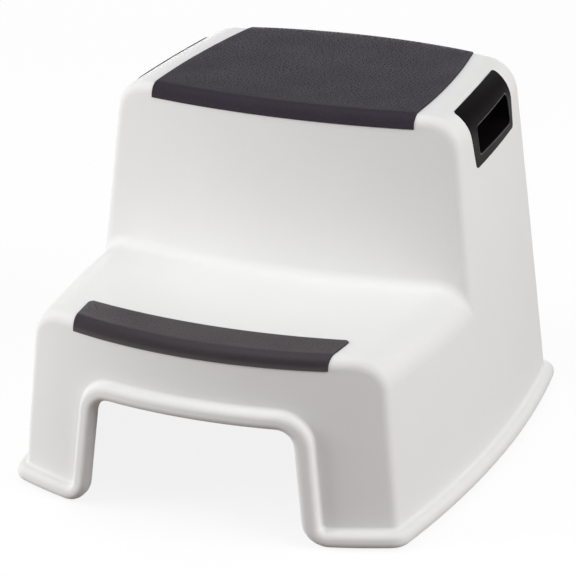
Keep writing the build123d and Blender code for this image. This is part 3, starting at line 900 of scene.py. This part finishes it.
grain = moulded_grain()
white = moulded_finish(
    "white_moulding",
    grain,
    colours=((0.854, 0.852, 0.848), (0.870, 0.868, 0.864)),
    speckle=(0.992, 1.008),
    roughness=(0.52, 0.58),
    scales=(14.0, 900.0),
    bump=(0.12, 0.00006),
    specular=0.22,
)
rubber = moulded_finish(
    "tread_rubber",
    grain,
    colours=((0.035, 0.029, 0.040), (0.039, 0.033, 0.044)),
    speckle=(0.88, 1.12),
    roughness=(0.60, 0.70),
    scales=(30.0, 700.0),
    bump=(0.22, 0.00012),
    specular=0.27,
)
lower_rubber = moulded_finish(
    "lower_rubber",
    grain,
    colours=((0.039, 0.030, 0.036), (0.043, 0.034, 0.040)),
    speckle=(0.88, 1.12),
    roughness=(0.44, 0.52),
    scales=(30.0, 700.0),
    bump=(0.22, 0.00012),
    specular=0.65,
)
black = moulded_finish(
    "black_moulding",
    grain,
    colours=((0.005, 0.0038, 0.0045), (0.0065, 0.0053, 0.006)),
    speckle=(0.93, 1.07),
    roughness=(0.48, 0.56),
    scales=(25.0, 1100.0),
    bump=(0.15, 0.00006),
    specular=0.08,
)
# Lighter than the plate's black, which paints a highlight along the opening's edge; its smoother, shinier
# finish adds a real one
lip_black_painted_highlight = moulded_finish(
    "lip_black_painted_highlight",
    grain,
    colours=((0.014, 0.012, 0.013), (0.018, 0.016, 0.017)),
    speckle=(0.95, 1.05),
    roughness=(0.32, 0.38),
    scales=(25.0, 1100.0),
    bump=(0.08, 0.00004),
    specular=0.4,
)
foot_rubber = moulded_finish(
    "foot_rubber",
    grain,
    colours=((0.040, 0.040, 0.041), (0.055, 0.054, 0.053)),
    speckle=(0.85, 1.15),
    roughness=(0.66, 0.78),
    scales=(120.0, 900.0),
    bump=(0.3, 0.00012),
    specular=0.3,
)

dress("shell", white)
dress("left_hand_hold", black)
dress("right_hand_hold", black)
for foot in ("foot_front_left", "foot_front_right", "foot_rear_left", "foot_rear_right"):
    dress(foot, foot_rubber)

riser_cove(white)
rim_cove(white)
upper_tread_pad(rubber)
lower_tread_pad(lower_rubber)
grip_lip("right_grip_lip", 1.0, lip_black_painted_highlight)
grip_lip("left_grip_lip", -1.0, lip_black_painted_highlight)


# Stage: white floor, soft lamps and the photograph's camera


def floor():
    """A wide pale floor. Camera rays see it lifted to white, less the stool's soft shadow."""
    mesh = bpy.data.meshes.new("floor")
    corners = floor_half * np.array([(-1, -1, 0), (1, -1, 0), (1, 1, 0), (-1, 1, 0)])
    mesh.from_pydata(corners.tolist(), [], [(0, 1, 2, 3)])
    plane = bpy.data.objects.new("floor", mesh)
    bpy.context.scene.collection.objects.link(plane)
    material, nodes, links = new_material("pale_floor")
    shader = nodes["Principled BSDF"]
    shader.inputs["Roughness"].default_value = floor_roughness
    shader.inputs["Specular IOR Level"].default_value = 0.0
    shader.inputs["Emission Color"].default_value = (1, 1, 1, 1)
    path = nodes.new("ShaderNodeLightPath")
    mirrored = nodes.new("ShaderNodeMath")
    mirrored.operation = "MAXIMUM"
    links.new(path.outputs["Is Glossy Ray"], mirrored.inputs[0])
    links.new(path.outputs["Is Transmission Ray"], mirrored.inputs[1])
    seen = nodes.new("ShaderNodeMath")
    seen.operation = "MAXIMUM"
    links.new(path.outputs["Is Camera Ray"], seen.inputs[0])
    links.new(mirrored.outputs[0], seen.inputs[1])
    strength = nodes.new("ShaderNodeMath")
    strength.operation = "MULTIPLY"
    strength.inputs[1].default_value = floor_lift
    links.new(seen.outputs[0], strength.inputs[0])
    links.new(strength.outputs[0], shader.inputs["Emission Strength"])
    tone = nodes.new("ShaderNodeMix")
    tone.data_type = "RGBA"
    tone.inputs["A"].default_value = (*floor_bounce_tone, 1)
    tone.inputs["B"].default_value = (*floor_seen_tone, 1)
    links.new(path.outputs["Is Camera Ray"], tone.inputs["Factor"])
    links.new(tone.outputs["Result"], shader.inputs["Base Color"])
    mesh.materials.append(material)


def soft_lamp(name, place, target, size, power, mirrored):
    """A rectangular white lamp that faces a point, and that shiny surfaces show only if it is mirrored."""
    data = bpy.data.lights.new(name, "AREA")
    data.shape = "RECTANGLE"
    data.size, data.size_y = size
    data.energy = power
    lamp = bpy.data.objects.new(name, data)
    lamp.visible_glossy = mirrored
    bpy.context.scene.collection.objects.link(lamp)
    direction = Vector(target) - Vector(place)
    lamp.location = place
    lamp.rotation_euler = direction.to_track_quat("-Z", "Y").to_euler()


def studio_light():
    """A dim white world and lamps above, at each side and low behind the stool, in metres and watts."""
    world = bpy.data.worlds.new("studio")
    bpy.context.scene.world = world
    world.use_nodes = True
    background = world.node_tree.nodes["Background"]
    background.inputs["Color"].default_value = (1, 1, 1, 1)
    background.inputs["Strength"].default_value = world_strength
    middle = (0, 0, 0.12)
    soft_lamp("top_lamp", (0, -0.1, 2.2), (0, 0, 0.1), size=(2.4, 2.4), power=12, mirrored=True)
    soft_lamp("left_lamp", (-2.0, -1.05, 0.85), middle, size=(1.6, 1.6), power=50, mirrored=False)
    soft_lamp("right_lamp", (1.93, -0.3, 1.25), middle, size=(1.6, 1.6), power=37, mirrored=False)
    soft_lamp("back_lamp", (-0.7, 2.2, 0.35), middle, size=(1.6, 0.7), power=17, mirrored=True)


def photo_camera():
    """The camera of the photograph: direction, distance, lens and a slight roll."""
    azimuth = math.radians(camera_azimuth)
    elevation = math.radians(camera_elevation)
    roll = math.radians(camera_roll)
    back = Vector(
        (
            math.sin(azimuth) * math.cos(elevation),
            -math.cos(azimuth) * math.cos(elevation),
            math.sin(elevation),
        )
    )
    level_right = Vector((math.cos(azimuth), math.sin(azimuth), 0))
    level_up = back.cross(level_right)
    right = math.cos(roll) * level_right + math.sin(roll) * level_up
    up = back.cross(right)
    place = (Vector(camera_target) + back * camera_distance) * mm
    data = bpy.data.cameras.new("photo_camera")
    data.sensor_width = sensor_mm
    data.lens = focal_pixels / picture_pixels * sensor_mm
    camera = bpy.data.objects.new("photo_camera", data)
    bpy.context.scene.collection.objects.link(camera)
    turned = Matrix((right, up, back)).transposed().to_4x4()
    camera.matrix_world = Matrix.Translation(place) @ turned
    bpy.context.scene.camera = camera


floor()
studio_light()
photo_camera()
bpy.context.scene.view_settings.view_transform = "Standard"
